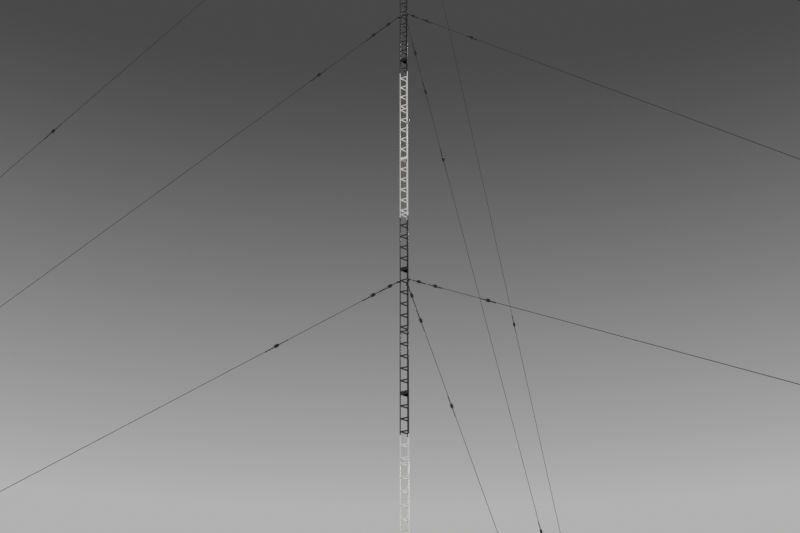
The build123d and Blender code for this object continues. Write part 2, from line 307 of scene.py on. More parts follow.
def zinc_coated(name, light, dark, bloom, metallic):
    """Hot-dip galvanised steel: flakes of two greys under a pale bloom, with spots of rust."""
    material, mix = new_finish(name)
    weather = mix.effect("grime", 9.0, 0.5)
    spots = mix.effect("rust", 26.0, 0.32)
    rain = mix.effect("streaks", 90.0, 0.4)
    flake = mix.fed(mix.add("ShaderNodeSeparateColor"), mix.cells(mix.place, flakes_in_a_metre, "Color"))
    colour = mix.mixed(mix.ramp(flake.outputs[0], 0.1, 0.9), dark, light)
    colour = mix.mixed(mix.times(weather["Mask"], 0.5), colour, bloom)
    colour = mix.mixed(mix.times(rain["Mask"], 0.35), colour, rust_brown)
    rough = mix.ramp(weather["Mask"], 0.0, 1.0, 0.42, 0.68)
    rough = mix.larger(rough, mix.times(spots["Mask"], 0.9))
    mix.feed(mix.shader.inputs["Metallic"], mix.ramp(spots["Mask"], 0.0, 1.0, metallic, 0.0))
    relief = mix.plus(mix.times(weather["Fine"], 0.3), spots["Raised"])
    mix.surface(rusted(mix, spots, colour), rough, relief, 0.0006)
    return material


galvanised = zinc_coated("galvanised_steel", zinc_light, zinc_dark, zinc_white, 0.75)


def new_work():
    """Points, faces, each face's finish, and how far round and along the part its corners are."""
    return [], [], [], []


def skin(work, where, rings, finish=0):
    """A closed skin over rings of points that run anticlockwise, with flat ends."""
    points, faces, finishes, wraps = work
    first = len(points)
    count = len(rings[0])
    run = 0.0
    runs = [run]
    for i, ring in enumerate(rings):
        points.extend(where @ Vector(point) for point in ring)
        if i:
            start = first + (i - 1) * count
            run += (points[start + count] - points[start]).length
            runs.append(run)
    for i in range(len(rings) - 1):
        low = first + i * count
        for j in range(count):
            k = (j + 1) % count
            faces.append((low + j, low + k, low + count + k, low + count + j))
            left = j / count
            right = (j + 1) / count
            wraps.append(((left, runs[i]), (right, runs[i]), (right, runs[i + 1]), (left, runs[i + 1])))
    last = first + (len(rings) - 1) * count
    faces.append(tuple(range(first + count - 1, first - 1, -1)))
    faces.append(tuple(range(last, last + count)))
    wraps.extend([((0, 0),) * count] * 2)
    finishes.extend([finish] * (len(faces) - len(finishes)))


def turned(angle, axis="Z"):
    return Matrix.Rotation(radians(angle), 4, axis)


def at(x, y, z, turn=0.0):
    return Matrix.Translation((x, y, z)) @ turned(turn)


def arc(radius, start, step, count, x=0.0, y=0.0):
    """Points of a circle about a point, each a step of degrees on from the last."""
    turns = [radians(start + step * i) for i in range(count)]
    return [(x + radius * cos(turn), y + radius * sin(turn)) for turn in turns]


def turned_part(work, where, outline, sides=16, finish=0):
    """A part turned about its own upright line, from pairs of radius and height."""
    rings = []
    for radius, height in outline:
        rings.append([(x, y, height) for x, y in arc(radius, 0, 360 / sides, sides)])
    skin(work, where, rings, finish)


def eased(radius, bottom, top, inset, rise):
    """The outline of a round part with broken edges."""
    low = [(radius - inset, bottom), (radius, bottom + rise)]
    return low + [(radius, top - rise), (radius - inset, top)]


def bar(work, where, width, depth, corner, stations, finish=0):
    """A rectangular bar with taken-off corners, at stations of height and thickness."""
    x = width / 2
    y = depth / 2
    half = [(x, y - corner), (x - corner, y), (corner - x, y), (-x, y - corner)]
    ring = half + [(-px, -py) for px, py in half]
    rings = [[(px * scale, py * scale, height) for px, py in ring] for height, scale in stations]
    skin(work, where, rings, finish)


def both_ends(near, run):
    """The stations of one end of a bar, and the same ones at its other end."""
    return near + [(run - place, scale) for place, scale in reversed(near)]


def block(work, where, length, width, height, corner, finish=0):
    """A flat block with broken edges, standing on its lower face."""
    ease = 1 - 2 * corner / max(length, width)
    stations = both_ends([(0.0, ease), (corner, 1.0)], height)
    bar(work, where, length, width, corner, stations, finish)


def hexagon(work, where, across, height, finish=0):
    """A nut or bolt head with its corners turned off at the top."""
    radius = across / sqrt(3)
    outline = [(radius, 0.0), (radius, height * 0.82), (radius * 0.86, height)]
    turned_part(work, where, outline, 6, finish)


def washer(work, where, radius, height, finish=0):
    outline = [(radius, 0.0), (radius, height * 0.7), (radius * 0.94, height)]
    turned_part(work, where, outline, 14, finish)


def thread(work, where, radius, length, pitch, finish=0):
    """A screw thread, as a row of ridges."""
    root = radius * 0.86
    outline = [(root, 0.0)]
    for i in range(max(1, round(length / pitch))):
        outline += [(radius, (i + 0.35) * pitch), (radius, (i + 0.65) * pitch), (root, (i + 1) * pitch)]
    turned_part(work, where, outline, 10, finish)


def bolt(work, where, size, finish=0, head=0.65):
    """A washer and a hexagon head on a surface. The size is the bolt's diameter."""
    height = size * 0.2
    washer(work, where, size * 1.05, height, finish)
    hexagon(work, where @ at(0, 0, height), size * 1.6, size * head, finish)


def nut(work, where, size, spare, finish=0):
    """A washer, a nut and the bolt's spare thread."""
    bolt(work, where, size, finish, 0.8)
    thread(work, where @ at(0, 0, size * 0.8), size / 2, spare, size * 0.15, finish)


smooth_below = radians(38)


def finished_piece(name, work, materials, slot, *nodes):
    """Makes a piece from its points and faces, and gives it to the frame."""
    points, faces, finishes, wraps = work
    mesh = bpy.data.meshes.new(name)
    mesh.from_pydata([tuple(point) for point in points], [], faces)
    for material in materials:
        mesh.materials.append(material)
    mesh.polygons.foreach_set("material_index", finishes)
    wrap = mesh.uv_layers.new(name="wrap")
    wrap.data.foreach_set("uv", [number for face in wraps for corner in face for number in corner])
    mesh.shade_smooth()
    mesh.set_sharp_from_angle(angle=smooth_below)
    mesh.update()
    piece = new_object(name, mesh)
    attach(piece, "root")
    if nodes:
        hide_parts(*nodes)


dressed("base_plate", galvanised)
fixings = new_work()
for x, y in ((1, 1), (-1, 1), (-1, -1), (1, -1)):
    where = at(x * base_bolt_place, y * base_bolt_place, plate_top, 12 * x * y)
    block(fixings, where, square_washer, square_washer, washer_thickness, 0.001)
    nut(fixings, at(0, 0, washer_thickness) @ where, base_bolt_size, 0.001)
    where = at(0, 0, washer_thickness + base_bolt_size) @ where @ turned(17)
    nut(fixings, where, base_bolt_size, spare_thread)
finished_piece("base_bolts", fixings, [galvanised], "galvanised_steel")

# The base insulator, a stack of brown glazed porcelain sheds between two cast steel caps that
# are cemented on. It carries the whole weight of the mast, which is itself the aerial.
insulator_bottom = plate_top
insulator_height = 0.18
cap_height = 0.022
cap_radius = 0.075
cap_face = 0.0125
cap_lip = 0.0035
cap_bolt = 0.008
cap_bolt_circle = 0.065
porcelain_core = 0.043
shed_count = 3
outline_pitch = 0.044
glaze_brown = (0.085, 0.032, 0.016, 1.0)
glaze_dark = (0.035, 0.015, 0.009, 1.0)
dust_colour = (0.24, 0.22, 0.19, 1.0)
cement_colour = (0.33, 0.32, 0.3, 1.0)


def glazed(name, thin, thick, dusty):
    """Glazed porcelain: the glaze is thin and thick in turns, and dust lies on what faces up."""
    material, mix = new_finish(name, specular=0.6)
    weather = mix.effect("grime", 14.0, 0.35)
    flow = mix.noise(mix.stretched(mix.place, (1.0, 1.0, 0.3)), 40.0, 3.0)
    colour = mix.mixed(mix.ramp(flow, 0.3, 0.7), thick, thin)
    facing_up = mix.ramp(mix.height(mix.add("ShaderNodeNewGeometry").outputs["Normal"]), 0.25, 0.95)
    dust = mix.times(facing_up, mix.ramp(weather["Fine"], 0.3, 0.65, 0.1 * dusty, 0.6 * dusty))
    dust = mix.larger(dust, mix.times(weather["Mask"], 0.2 * dusty))
    rough = mix.ramp(dust, 0.0, 0.6, 0.12, 0.7)
    mix.surface(mix.mixed(dust, colour, dust_colour), rough, flow, 0.0004)
    return material


porcelain = glazed("brown_porcelain", glaze_brown, glaze_dark, 1.0)

cement, mix = new_finish("cement")
weather = mix.effect("grime", 40.0, 0.5)
colour = mix.mixed(weather["Mask"], cement_colour, dust_colour)
mix.surface(colour, mix.ramp(weather["Fine"], 0.3, 0.7, 0.8, 0.95), weather["Fine"], 0.0008)

stack = new_work()
where = at(0, 0, insulator_bottom)
lower_cap = eased(cap_radius, 0.0, cap_face, cap_lip, cap_lip)
lower_cap += [(0.056, cap_face + 0.001), (0.052, cap_height)]
turned_part(stack, where, lower_cap, 48, 1)
upper_cap = [(radius, insulator_height - height) for radius, height in reversed(lower_cap)]
turned_part(stack, where, upper_cap, 48, 1)
for height in (cap_height - 0.001, insulator_height - cap_height - 0.003):
    turned_part(stack, where, [(0.0495, height), (0.0485, height + 0.004)], 48, 2)
first_shed = cap_height + 0.002
shed_pitch = (insulator_height - 2 * first_shed) / shed_count
shed = [(0.0, 0.004), (0.001, 0.009), (0.006, 0.013), (0.017, 0.0135), (0.026, 0.0115)]
shed += [(0.0295, 0.0125), (0.0315, 0.0165), (0.0295, 0.0205), (0.022, 0.0245)]
shed += [(0.01, 0.0305), (0.002, 0.036)]
porcelain_outline = [(porcelain_core, first_shed - 0.001)]
for i in range(shed_count):
    low = first_shed + i * shed_pitch
    for out, up in shed:
        porcelain_outline.append((porcelain_core + out, low + up * shed_pitch / outline_pitch))
porcelain_outline.append((porcelain_core, insulator_height - first_shed + 0.001))
turned_part(stack, where, porcelain_outline, 48, 0)
for i in range(6):
    spot = turned(60 * i) @ at(cap_bolt_circle, 0, insulator_bottom + cap_face + 0.001, 20)
    bolt(stack, spot, cap_bolt, 1)
stack_finishes = [porcelain, galvanised, cement]
finished_piece("base_insulator_stack", stack, stack_finishes, "porcelain", "base_insulator")

# The tapered foot, three round bars that lean out from a thick plate to the first joint, with one
# ring round them. It is arc welded and painted like the mast above it. The mast's own ring bars,
# flanges, welds and joint bolts are made here too, since the foot is the first that has them.
leg_directions = {"left": 180.0, "right": -60.0, "rear": 60.0}
face_width = 0.19
leg_circle = face_width / sqrt(3)
leg_radius = 0.011
ring_width = 0.018
ring_depth = 0.027
first_ring = 0.41
section_pitch = 3.0
bays = 10
foot_bays = 2
joint_gap = 0.117
bay = (section_pitch - joint_gap) / bays
half_gap = joint_gap / 2
flange_radius = 0.025
flange_height = 0.008
joint_bolt_circle = 0.0178
joint_bolt = 0.0052
foot_plate_radius = 0.085
foot_plate_height = 0.014
foot_bolt = 0.009
foot_bolt_circle = 0.072
foot_bottom = insulator_bottom + insulator_height
foot_leg_circle = 0.05
foot_top = first_ring + foot_bays * bay - half_gap
band_start = 0.388
dark_band = 5.307
white_band = 4.215
edge_wander = 0.012
dark_fresh = (0.015, 0.014, 0.0135, 1.0)
dark_faded = (0.034, 0.031, 0.03, 1.0)
white_fresh = (0.86, 0.85, 0.825, 1.0)
white_dirty = (0.62, 0.6, 0.555, 1.0)
# Dark soot for the rain streaks on the paint. It is also the painted shade in the grooves between the guy
# strand's wires.
soot_and_groove_shade = (0.035, 0.032, 0.028, 1.0)

mast_paint, mix = new_finish("mast_paint", specular=0.45)
weather = mix.effect("grime", 5.0, 0.5)
rain = mix.effect("streaks", 110.0, 0.55)
spots = mix.effect("rust", 24.0, 0.22)
level = mix.height(mix.place)
wander = mix.times(mix.less(mix.noise(mix.place, 36.0, 2.0), 0.5), edge_wander)
from_foot = mix.less(mix.plus(level, wander), band_start)
in_pair = mix.number("MODULO", from_foot, dark_band + white_band)
is_white = mix.number("GREATER_THAN", in_pair, dark_band)
dark = mix.mixed(mix.ramp(weather["Fine"], 0.3, 0.7), dark_fresh, dark_faded)
dark = mix.mixed(mix.times(rain["Mask"], 0.3), dark, soot_and_groove_shade)
white = mix.mixed(mix.times(weather["Mask"], 0.5), white_fresh, white_dirty)
white = mix.mixed(mix.times(rain["Mask"], 0.35), white, soot_and_groove_shade)
in_section = mix.number("MODULO", mix.less(level, first_ring - half_gap), section_pitch)
below_joint = mix.less(section_pitch, in_section)
stain = mix.times(mix.ramp(below_joint, 0.0, 0.35, 1.0, 0.0), rain["Mask"])
colour = mix.mixed(mix.times(stain, 0.7), mix.mixed(is_white, dark, white), rust_red)
rough = mix.ramp(weather["Mask"], 0.0, 1.0, 0.23, 0.3)
rough = mix.larger(rough, mix.times(spots["Mask"], 0.9))
brushed = mix.noise(mix.stretched(mix.place, (1.0, 1.0, 0.12)), 320.0, 2.0)
relief = mix.plus(mix.times(brushed, 0.35), spots["Raised"])
mix.surface(rusted(mix, spots, colour), rough, relief, 0.0005)


def leg_places(circle, height=0.0):
    """The three legs, on a circle at a height."""
    angles = [radians(angle) for angle in leg_directions.values()]
    return [Vector((circle * cos(angle), circle * sin(angle), height)) for angle in angles]


def face_lines(circle, height):
    """The three lines between neighbouring legs."""
    legs = leg_places(circle, height)
    return [(legs[i], legs[(i + 1) % 3]) for i in range(3)]


def along(start, end, across=Vector((0, 0, 1))):
    """The place of a part that runs from one point towards another."""
    run = (end - start).normalized()
    flat = (across - run * across.dot(run)).normalized()
    other = run.cross(flat)
    turn = Matrix((flat, other, run)).transposed().to_4x4()
    return Matrix.Translation(start) @ turn


def ring_of_bars(work, circle, height):
    """Three bars between the legs, thickened at both ends by the weld."""
    weld = ((-0.007, 0.98), (0.0, 1.13), (0.002, 1.1), (0.005, 1.0))
    near = [(leg_radius + out, scale) for out, scale in weld]
    for start, end in face_lines(circle, height):
        stations = both_ends(near, (end - start).length)
        bar(work, along(start, end), ring_depth, ring_width, 0.0028, stations)


def flange(work, x, y, bottom, upwards):
    """A round flange welded to a leg. The joint's bolts lie on the side away from the joint."""
    plate = eased(flange_radius, 0.0, flange_height, 0.0012, 0.0012)
    turned_part(work, at(x, y, bottom), plate, 24)
    face = at(x, y, bottom) @ turned(180, "X")
    if upwards:
        face = at(x, y, bottom + flange_height)
    weld = ((0.0042, -0.001), (0.0038, 0.0012), (0.001, 0.0042), (-0.001, 0.0052))
    turned_part(work, face, [(leg_radius + out, up) for out, up in weld], 20)
    for i in range(4):
        spot = face @ turned(45 + 90 * i) @ at(joint_bolt_circle, 0, 0, 7 * i)
        if upwards:
            bolt(work, spot, joint_bolt, 1)
        else:
            nut(work, spot, joint_bolt, 0.0035, 1)


foot = new_work()
plate = eased(foot_plate_radius, 0.0, foot_plate_height, 0.002, 0.002)
turned_part(foot, at(0, 0, foot_bottom), plate, 48)
for i in range(6):
    spot = at(0, 0, foot_bottom + foot_plate_height, 60 * i)
    bolt(foot, spot @ at(foot_bolt_circle, 0, 0, 10 * i), foot_bolt, 1)
low_legs = leg_places(foot_leg_circle, foot_bottom + foot_plate_height / 2)
high_legs = leg_places(leg_circle, foot_top - flange_height / 2)
for start, end in zip(low_legs, high_legs):
    leg = [(leg_radius + 0.005, 0.004), (leg_radius + 0.0045, 0.009)]
    leg += [(leg_radius, 0.0145), (leg_radius, (end - start).length)]
    turned_part(foot, along(start, end), leg, 20)
    flange(foot, end.x, end.y, foot_top - flange_height, False)
rise = bay / (foot_top - first_ring)
ring_of_bars(foot, foot_leg_circle + (leg_circle - foot_leg_circle) * rise, first_ring + bay)
finished_piece("mast_foot_weldment", foot, [mast_paint, galvanised], "dark_paint", "mast_foot")

# The eleven mast sections. Each is three round tubes with triangular rings welded between them. A
# ring of deep plates at its middle, closed by a plate, keeps it square. The tubes meet end to end
# over an inner sleeve that cross bolts hold. The dark and white bands don't follow the joints.
section_count = 11
white_sections = (3, 6, 9, 10)
deep_ring = 5
deep_ring_width = 0.01
deep_ring_depth = 0.075
web_thickness = 0.006
cross_bolt = 0.005
cross_bolt_places = (0.018, 0.036)
plate_margin = 0.008
top_plate_height = 0.01


def ring_height(section, index):
    return first_ring + (section - 1) * section_pitch + index * bay


def three_sided_plate(work, bottom, height, reach):
    """A triangular plate with round corners that reaches past the middles of the legs."""
    rings = []
    for radius, level in eased(reach, 0.0, height, 0.001, 0.001):
        ring = []
        for angle in sorted(leg_directions.values()):
            x, y = arc(leg_circle, angle, 0, 1)[0]
            ring += arc(radius, angle - 60, 15, 9, x, y)
        rings.append([(x, y, level) for x, y in ring])
    skin(work, at(0, 0, bottom), rings)


def closed_ring(work, height):
    """Three plates on edge under a flat one, with a run of weld up each corner."""
    inner = leg_radius - 0.003
    bottom = height - deep_ring_depth / 2
    bead = [(0.0018, 0.003), (0.0032, 0.006), (0.0029, 0.037), (0.0032, 0.069), (0.0018, 0.072)]
    for start, end in face_lines(leg_circle, height):
        reach = (end - start).length
        stations = [(inner, 1.0), (reach - inner, 1.0)]
        bar(work, along(start, end), deep_ring_depth, deep_ring_width, 0.0015, stations)
        run = (end - start).normalized()
        beside = Vector((-run.y, run.x, 0)) * deep_ring_width / 2
        for distance in (leg_radius, reach - leg_radius):
            for corner in (start + run * distance + beside, start + run * distance - beside):
                turned_part(work, at(corner.x, corner.y, bottom), bead, 8)
    web_bottom = bottom + deep_ring_depth - web_thickness
    three_sided_plate(work, web_bottom, web_thickness, deep_ring_width / 2)


def bolted_end(work, leg, joint, up):
    """Two bolts square to one another, through a leg and the sleeve inside its end."""
    outwards = degrees(atan2(leg.y, leg.x))
    seat = leg_radius + 0.001
    for i, distance in enumerate(cross_bolt_places):
        height = joint + distance if up else joint - distance
        for side in (0, 180):
            face = at(leg.x, leg.y, height, outwards + 90 * i + side) @ turned(90, "Y")
            saddle = [(cross_bolt * 1.1, leg_radius - 0.002), (cross_bolt * 1.05, seat)]
            turned_part(work, face, saddle, 12, 1)
            hexagon(work, face @ at(0, 0, seat, 20), cross_bolt * 1.6, cross_bolt * 0.65, 1)
            if side:
                thread(work, face @ at(0, 0, leg_radius + 0.004), cross_bolt / 2, 0.003, 0.0008, 1)


for section in range(1, section_count + 1):
    lattice = new_work()
    lowest = foot_bays if section == 1 else 0
    bottom = ring_height(section, lowest) - half_gap
    top = ring_height(section, bays) + half_gap
    for leg in leg_places(leg_circle):
        tube = eased(leg_radius, bottom, top, 0.0009, 0.0012)
        turned_part(lattice, at(leg.x, leg.y, 0), tube, 20)
        if section == 1:
            flange(lattice, leg.x, leg.y, bottom, True)
        else:
            bolted_end(lattice, leg, bottom, True)
        if section < section_count:
            bolted_end(lattice, leg, top, False)
    for index in range(lowest, bays + 1):
        if index == deep_ring:
            closed_ring(lattice, ring_height(section, index))
        else:
            ring_of_bars(lattice, leg_circle, ring_height(section, index))
    if section == section_count:
        three_sided_plate(lattice, top, top_plate_height, leg_radius + plate_margin)
    slot = "white_paint" if section in white_sections else "dark_paint"
    name = f"mast_section_{section}"
    finished_piece(f"{name}_lattice", lattice, [mast_paint, galvanised], slot, name)

# The brackets that hold the guys to the legs. Each is a collar in two halves, bolted round the
# leg under a ring, with a drilled lug that takes the pin of the guy. Forged and painted.
guy_rings = [(2, 10), (5, 4), (7, 10), (10, 3)]
guy_levels = range(len(guy_rings))
guy_swings = {"left": 0.0, "right": 0.0, "rear": 2.9}
collar_height = 0.05
collar_bore = 0.0122
collar_wall = 0.0058
collar_bolt = 0.005
ear_thickness = 0.007
ear_width = 0.014
tall_collar = 0.04
lug_thickness = 0.01
lug_reach = 0.052
lug_end_radius = 0.015
pin_radius = 0.0072
seat_gap = 0.0003


def beside_leg(side):
    """The place of what goes with the guys of one side. The rear ones swing about their leg."""
    swing = at(leg_circle, 0, 0, guy_swings[side]) @ at(-leg_circle, 0, 0)
    return turned(leg_directions[side]) @ swing


def upper_pin(level):
    """How far out and how high the upper pin of a guy is."""
    under_ring = ring_height(*guy_rings[level]) - ring_depth / 2 - seat_gap
    return leg_circle + lug_reach, under_ring - collar_height / 2


def lug_plate(work, where, pin_x, pin_z):
    """The tapered lug, with a round end about the pin's hole."""
    root = leg_circle + collar_bore + collar_wall / 2
    half_collar = collar_height / 2 - 0.001
    outer = [(root, pin_z + half_collar), (root, pin_z - half_collar)]
    outer += arc(lug_end_radius, -90, 15, 13, pin_x, pin_z)
    centre = sum(x for x, z in outer) / len(outer)
    rings = []
    for y, scale in ((0.5, 0.955), (0.43, 1.0), (-0.43, 1.0), (-0.5, 0.955)):
        side = y * lug_thickness
        ring = [(centre + (x - centre) * scale, side, pin_z + (z - pin_z) * scale) for x, z in outer]
        rings.append(ring)
    skin(work, where, rings)


def split_collar(work, where, x, z, height, bore, wall):
    """Two half rings round a leg, with ears bolted together. A tall one has two rows of bolts."""
    outer = bore + wall
    for half in (0, 180):
        turn = where @ at(x, 0, z - height / 2, half)
        rings = []
        for radius, level in eased(outer, 0.0, height, 0.001, 0.001):
            ring = arc(radius, -84, 16.8, 11) + arc(bore, 84, -16.8, 11)
            rings.append([(px, py, level) for px, py in ring])
        skin(work, turn, rings)
        for side in (-1, 1):
            ear = turn @ at(0.0055, side * (outer + 0.004), 0)
            block(work, ear, ear_thickness, ear_width, height, 0.0012)
            for share in ((0.25, 0.75) if height > tall_collar else (0.5,)):
                spot = ear @ at(ear_thickness / 2, 0.001 * side, height * share) @ turned(90, "Y")
                bolt(work, spot, collar_bolt, 1)


for level in guy_levels:
    clamps = new_work()
    pin_x, pin_z = upper_pin(level)
    for side in leg_directions:
        where = beside_leg(side)
        split_collar(clamps, where, leg_circle, pin_z, collar_height, collar_bore, collar_wall)
        lug_plate(clamps, where, pin_x, pin_z)
    name = f"guy_brackets_{level + 1}"
    finished_piece(f"{name}_clamps", clamps, [mast_paint, galvanised], "galvanised_steel", name)

# The guys, galvanised steel strand blackened by grease and weather. At an insulator the strand
# is doubled back in a loop and held by up to three clips. The upper end has a forged clevis. Each
# guy is cut by four insulators, so that none of it is long enough to act as an aerial.
wire_radius = 0.005
usual = (0.375, 1.0, 3.2, 14.2)
egg_distances = {
    "left": [usual, (0.205, 0.645, 3.07, 14.2), (0.35, 0.885, 2.785, 14.2), (0.375, 1.0, 3.2, 13.665)],
    "right": [usual, (0.41, 1.11, 3.16, 14.2), (0.305, 1.11, 3.545, 14.9), usual],
    "rear": [usual, (0.26, 0.91, 3.24, 14.2), (0.815, 1.835, 3.63, 14.28), (0.375, 1.0, 3.2, 14.275)],
}
egg_length = 0.115
egg_radius = 0.036
clevis_cheek = 0.006
clevis_width = 0.026
clevis_reach = 0.03
clevis_block = 0.014
clevis_end = clevis_reach + clevis_block
screw_length = 0.33
anchor_radius = 19.9
anchor_pin_height = 0.6
anchor_slope = radians(40.0)
fan_hole_spacing = 0.06
fan_plate_thickness = 0.012
socket_length = 0.035
tail_length = 0.2
clip_places = (0.022, 0.088, 0.154)
clip_bolt_radius = 0.0019
clip_half_width = 0.009
clip_saddle = (0.03, 0.007, 0.012)
clip_nut = (0.0065, 0.0035)
pin_head = (0.018, 0.005)
pin_washer = (0.0115, 0.0016)
loop_half_width = 0.026
loop_reach = 0.032
strand_dark = (0.012, 0.0115, 0.011, 1.0)
strand_bare = (0.045, 0.044, 0.042, 1.0)
greased_light = (0.062, 0.06, 0.058, 1.0)
greased_dark = (0.034, 0.033, 0.032, 1.0)
strand_pitch = 0.09
strand_wires = 6

greased = zinc_coated("greased_steel", greased_light, greased_dark, greased_light, 0.4)
strand, mix = new_finish("guy_strand", metallic=0.35)
weather = mix.effect("grime", 8.0, 0.45)
spots = mix.effect("rust", 30.0, 0.3)
wrap = mix.add("ShaderNodeTexCoord").outputs["UV"]
wrap = mix.fed(mix.add("ShaderNodeSeparateXYZ"), wrap).outputs
lay = mix.plus(wrap["X"], mix.number("DIVIDE", wrap["Y"], strand_pitch))
ridges = mix.number("ABSOLUTE", mix.number("SINE", mix.times(lay, pi * strand_wires)))
colour = mix.mixed(mix.ramp(weather["Fine"], 0.4, 0.75), strand_dark, strand_bare)
colour = mix.mixed(mix.times(spots["Mask"], 0.8), colour, rust_brown)
# Painted shade: the grooves between the strand's wires are darkened towards the soot colour.
colour = mix.mixed(mix.ramp(ridges, 0.0, 0.35, 0.8, 0.0), colour, soot_and_groove_shade)
mix.surface(colour, mix.ramp(weather["Mask"], 0.0, 1.0, 0.45, 0.7), ridges, 0.0009)


def lower_pin(level):
    """How far out and how high the pin of a guy is in the fan plate at the anchor."""
    step = (level - (len(guy_rings) - 1) / 2) * fan_hole_spacing
    return anchor_radius + step * sin(anchor_slope), anchor_pin_height + step * cos(anchor_slope)


def guy_line(side, level, from_anchor=False):
    """The place of a guy, with its length between pins. Z runs along it and X across the lug."""
    start, end = [Vector((x, 0, z)) for x, z in (upper_pin(level), lower_pin(level))]
    if from_anchor:
        start, end = end, start
    return beside_leg(side) @ along(start, end, Vector((0, 1, 0))), (end - start).length


def wire(work, where, path, radius, finish=0, sides=10):
    """A round wire that follows the points of a path."""
    line = [where @ Vector(point) for point in path]
    heading = (line[1] - line[0]).normalized()
    side = heading.orthogonal().normalized()
    rings = []
    for i, point in enumerate(line):
        heading = (line[min(i + 1, len(line) - 1)] - line[max(i - 1, 0)]).normalized()
        side = (side - heading * side.dot(heading)).normalized()
        other = heading.cross(side)
        turns = arc(1.0, 0, 360 / sides, sides)
        rings.append([point + (side * x + other * y) * radius for x, y in turns])
    skin(work, Matrix.Identity(4), rings, finish)


def clip(work, where):
    """A wire clip over the strand and its tail: a saddle, a bent bolt and two nuts."""
    middle = where @ at(wire_radius, 0, 0)
    block(work, middle @ at(0, -0.0085, -0.006), *clip_saddle, 0.0015, 1)
    bend = [(-clip_half_width, -0.013), (-clip_half_width, 0.002)]
    bend += [(0.0115 * x, 0.002 + 0.0065 * y) for x, y in arc(1.0, 157.5, -22.5, 7)]
    bend += [(clip_half_width, 0.002), (clip_half_width, -0.013)]
    wire(work, middle, [(x, y, 0) for x, y in bend], clip_bolt_radius, 1, 6)
    for side in (-clip_half_width, clip_half_width):
        hexagon(work, middle @ at(side, -0.012, 0) @ turned(90, "X"), *clip_nut, 1)


def loop_through(work, where, tail):
    """The end of a strand, looped through an insulator and clipped back on itself."""
    start = -egg_length / 2 - loop_reach
    gap = 2 * wire_radius
    wide = loop_half_width
    bend = [(wide, start + 0.038), (wide + 0.0015, -0.02), (wide + 0.001, 0.004)]
    bend += [(wide - 0.003, 0.018), (0.014, 0.025)]
    path = [(0, start - 0.02), (0, start - 0.002), (-0.006, start + 0.008), (-0.017, start + 0.021)]
    path += [(-x, z) for x, z in bend] + [(0, 0.027)] + bend[::-1]
    path += [(0.019, start + 0.022), (gap + 0.002, start + 0.01), (gap, start - 0.002), (gap, start - tail)]
    wire(work, where, [(x, 0, z) for x, z in path], wire_radius)
    for distance in clip_places:
        if distance + 0.012 < tail:
            clip(work, where @ at(0, 0, start - distance))


def jaw(work, where, held, finish=1):
    """A clevis: two round-ended cheeks joined by a block, with a pin, its head and a split pin."""
    inside = held / 2 + seat_gap
    half = clevis_width / 2
    outline = arc(half, 180, 15, 13) + [(half, clevis_end - 0.004), (half - 0.004, clevis_end)]
    outline += [(0.004 - half, clevis_end), (-half, clevis_end - 0.004)]
    for side in (-1, 1):
        rings = []
        for x, scale in ((-0.5, 0.95), (-0.38, 1.0), (0.38, 1.0), (0.5, 0.95)):
            px = side * (inside + clevis_cheek / 2) + x * clevis_cheek
            rings.append([(px, y * scale, z * scale) for y, z in outline])
        skin(work, where, rings, finish)
    neck = where @ at(0, 0, clevis_reach)
    block(work, neck, 2 * inside + clevis_cheek, clevis_width * 0.96, clevis_block, 0.002, finish)
    length = inside + clevis_cheek
    across = where @ turned(90, "Y")
    turned_part(work, across, [(pin_radius, -length - 0.003), (pin_radius, length + 0.004)], 16, finish)
    washer(work, across @ at(0, 0, length), *pin_washer, finish)
    hexagon(work, across @ at(0, 0, -length) @ turned(180, "X"), *pin_head, finish)
    split_pin = [(-0.011, 0, 0), (0.011, 0, 0), (0.013, 0.003, 0)]
    wire(work, across @ at(0, 0, length + 0.003), split_pin, 0.001, finish, 6)


def socket(work, where, start, length, finish=1):
    """A swaged sleeve on the end of the strand."""
    wide = wire_radius + 0.006
    outline = [(wide - 0.001, start), (wide, start + 0.002), (wide, start + length * 0.35)]
    outline += [(wire_radius + 0.003, start + length * 0.8), (wire_radius + 0.001, start + length)]
    turned_part(work, where, outline, 16, finish)


for side in leg_directions:
    for level in guy_levels:
        guy = new_work()
        where, length = guy_line(side, level)
        jaw(guy, where, lug_thickness)
        socket(guy, where, clevis_end - 0.001, socket_length)
        start = clevis_end + socket_length
        reach = egg_length / 2 + loop_reach
        for distance in egg_distances[side][level]:
            end = distance - reach
            middle = where @ at(0, 0, distance)
            loop_through(guy, middle, min(tail_length, end - start - 0.005))
            loop_through(guy, middle @ turned(180, "X") @ turned(90), tail_length)
            wire(guy, where, [(0, 0, start - 0.015), (0, 0, end)], wire_radius)
            start = distance + reach
        wire(guy, where, [(0, 0, start), (0, 0, length - screw_length)], wire_radius)
        name = f"guy_{side}_{level + 1}"
        finished_piece(f"{name}_strand", guy, [strand, greased], "guy_wire", name)

# The insulators in the guys, egg-shaped blocks of dark glazed porcelain. Two grooves and two
# holes cross in each, so that the loops of the two strands pass through one another and the guy
# would hold even if the porcelain broke.
groove_width = 0.0075
groove_depth = 0.0075
groove_start = -0.017
groove_fade = 0.012
egg_end_cut = 0.06
egg_fullness = 0.72
egg_sides = 40
egg_rows = 22
egg_glaze = (0.02, 0.012, 0.009, 1.0)
egg_glaze_thick = (0.009, 0.006, 0.005, 1.0)
egg_porcelain = glazed("dark_porcelain", egg_glaze, egg_glaze_thick, 0.25)


